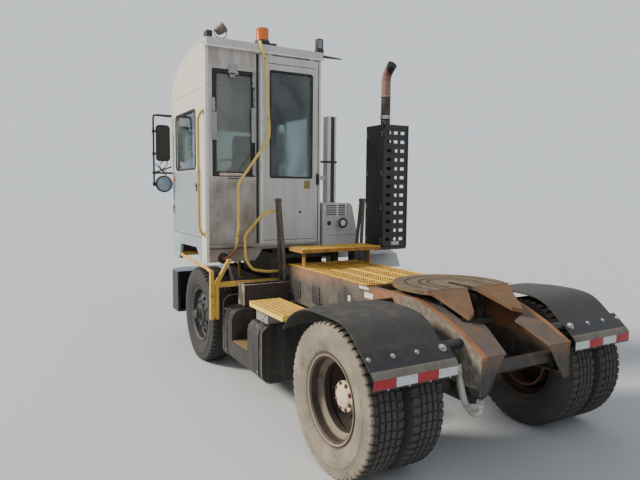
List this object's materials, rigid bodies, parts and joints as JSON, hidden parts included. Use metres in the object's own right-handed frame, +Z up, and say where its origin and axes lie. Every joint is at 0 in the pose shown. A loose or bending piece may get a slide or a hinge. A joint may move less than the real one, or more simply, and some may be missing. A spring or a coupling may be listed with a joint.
{
  "type": "terminal tractor",
  "caption": "Yard tractor with an offset high cab that tilts, a sliding rear door, twin rear wheels and a fifth wheel on a hydraulic lifting boom.",
  "frame": {"origin": "on the ground, in the middle of the length and of the width over the left mirror; 1.88 m ahead of the rear axle and 0.11 m left of the frame's centre line", "axes": "+X forward, +Y to the left, +Z up"},
  "size_m": [5.0796, 2.6724, 3.6475],
  "materials": {
    "cab_paint": "chalky off-white paint, dirty and scratched",
    "chassis_paint": "worn dark paint with rust",
    "yellow_paint": "worn safety yellow paint",
    "black_paint": "dusty black paint",
    "bare_steel": "dull bare steel",
    "cast_iron": "oily cast iron",
    "rusty_steel": "rust brown with grease",
    "rubber": "dusty black rubber",
    "tyre": "worn and dusty",
    "rim_paint": "cream paint, dirty",
    "glass": "clear, dusty",
    "seat_fabric": "black cloth",
    "black_plastic": "matt black",
    "amber_plastic": "clear amber"
  },
  "bodies": {
    "chassis": {"frame": "chassis_paint", "front_axle": "chassis_paint", "rear_axle": "chassis_paint", "engine_block": "cast_iron", "deck_grating": "yellow_paint", "catwalk": "yellow_paint", "step_tank": "black_paint", "step_plank": "yellow_paint", "fuel_tank_right": "black_paint", "exhaust_guard": "black_paint", "exhaust_stack": "bare_steel", "engine_cowl": "cab_paint", "front_bumper": "black_paint", "bracket_post": "yellow_paint", "yellow_tube": "yellow_paint", "mudguard_left": "rubber", "mudguard_right": "rubber"},
    "cab": {"cab_floor": "cab_paint", "cab_wall_left": "cab_paint", "cab_wall_right": "cab_paint", "cab_wall_rear": "cab_paint", "cab_roof": "cab_paint", "cab_nose": "cab_paint", "windscreen": "glass", "glass_rear": "glass", "glass_right": "glass", "seat": "seat_fabric", "dash": "black_plastic", "mirror_left": "black_paint", "mirror_right": "black_paint", "beacon": "amber_plastic", "work_lamp": "black_plastic", "roof_bracket": "black_paint", "grab_rail_rear": "yellow_paint", "side_grab_bar": "yellow_paint", "duct": "cab_paint"},
    "door_side": {"door_side": "cab_paint", "glass_door_side": "glass"},
    "door_rear": {"door_rear": "cab_paint", "glass_door_rear": "glass"},
    "knuckle_left": {"knuckle_left": "cast_iron"},
    "knuckle_right": {"knuckle_right": "cast_iron"},
    "tie_rod": {"tie_rod": "bare_steel"},
    "wheel_front_left": {"tyre_front_left": "tyre", "rim_front_left": "rim_paint"},
    "wheel_front_right": {"tyre_front_right": "tyre", "rim_front_right": "rim_paint"},
    "wheels_rear_left": {"tyre_rear_left_outer": "tyre", "tyre_rear_left_inner": "tyre", "rims_rear_left": "rim_paint"},
    "wheels_rear_right": {"tyre_rear_right_outer": "tyre", "tyre_rear_right_inner": "tyre", "rims_rear_right": "rim_paint"},
    "boom": {"boom": "rusty_steel"},
    "fifth_wheel": {"fifth_wheel": "rusty_steel"},
    "lift_barrels": {"lift_barrels": "black_paint"},
    "lift_rods": {"lift_rods": "bare_steel"}
  },
  "joints": [
    {"name": "cab_tilt", "type": "hinge", "parent": "chassis", "child": "cab", "pos_m": [2.11, 0.435, 0.98], "axis": [0, 1, 0], "range_deg": [0, 45]},
    {"name": "side_door_hinge", "type": "hinge", "parent": "cab", "child": "door_side", "pos_m": [1.862, 1.122, 2.19], "axis": [0, 0, -1], "range_deg": [0, 80]},
    {"name": "rear_door_slide", "type": "slide", "parent": "cab", "child": "door_rear", "axis": [0, 1, 0], "range_m": [0, 0.58]},
    {"name": "steer_left", "type": "hinge", "parent": "chassis", "child": "knuckle_left", "pos_m": [1.066, 0.74, 0.525], "axis": [0, 0, 1], "range_deg": [-40, 40]},
    {"name": "steer_right", "type": "hinge", "parent": "chassis", "child": "knuckle_right", "pos_m": [1.066, -0.96, 0.525], "axis": [0, 0, 1], "range_deg": [-40, 40]},
    {"name": "tie_rod_pivot", "type": "hinge", "parent": "knuckle_left", "child": "tie_rod", "pos_m": [0.856, 0.74, 0.405], "axis": [0, 0, 1], "range_deg": [-40, 40]},
    {"name": "spin_front_left", "type": "hinge", "parent": "knuckle_left", "child": "wheel_front_left", "pos_m": [1.066, 0.945, 0.525], "axis": [0, 1, 0], "continuous": true},
    {"name": "spin_front_right", "type": "hinge", "parent": "knuckle_right", "child": "wheel_front_right", "pos_m": [1.066, -1.165, 0.525], "axis": [0, 1, 0], "continuous": true},
    {"name": "spin_rear_left", "type": "hinge", "parent": "chassis", "child": "wheels_rear_left", "pos_m": [-1.88, 0.811, 0.525], "axis": [0, 1, 0], "continuous": true},
    {"name": "spin_rear_right", "type": "hinge", "parent": "chassis", "child": "wheels_rear_right", "pos_m": [-1.88, -1.031, 0.525], "axis": [0, 1, 0], "continuous": true},
    {"name": "boom_lift", "type": "hinge", "parent": "chassis", "child": "boom", "pos_m": [-0.98, -0.11, 0.88], "axis": [0, 1, 0], "range_deg": [0, 28]},
    {"name": "fifth_wheel_level", "type": "hinge", "parent": "boom", "child": "fifth_wheel", "pos_m": [-1.76, -0.11, 1.085], "axis": [0, 1, 0], "range_deg": [-28, 0]},
    {"name": "lift_barrel_pivot", "type": "hinge", "parent": "chassis", "child": "lift_barrels", "pos_m": [-1.33, -0.11, 0.64], "axis": [0, 1, 0], "range_deg": [0, 30.58]},
    {"name": "lift_rod_slide", "type": "slide", "parent": "lift_barrels", "child": "lift_rods", "axis": [-0.8489, 0, 0.5286], "range_m": [0, 0.2036]}
  ],
  "couplings": [
    {"joint": "steer_right", "follows": "steer_left", "ratio": 1},
    {"joint": "tie_rod_pivot", "follows": "steer_left", "ratio": -1},
    {"joint": "fifth_wheel_level", "follows": "boom_lift", "ratio": -1},
    {"joint": "lift_barrel_pivot", "follows": "boom_lift", "ratio": 1.0852},
    {"joint": "lift_rod_slide", "follows": "boom_lift", "m_per_rad": 0.41569}
  ]
}
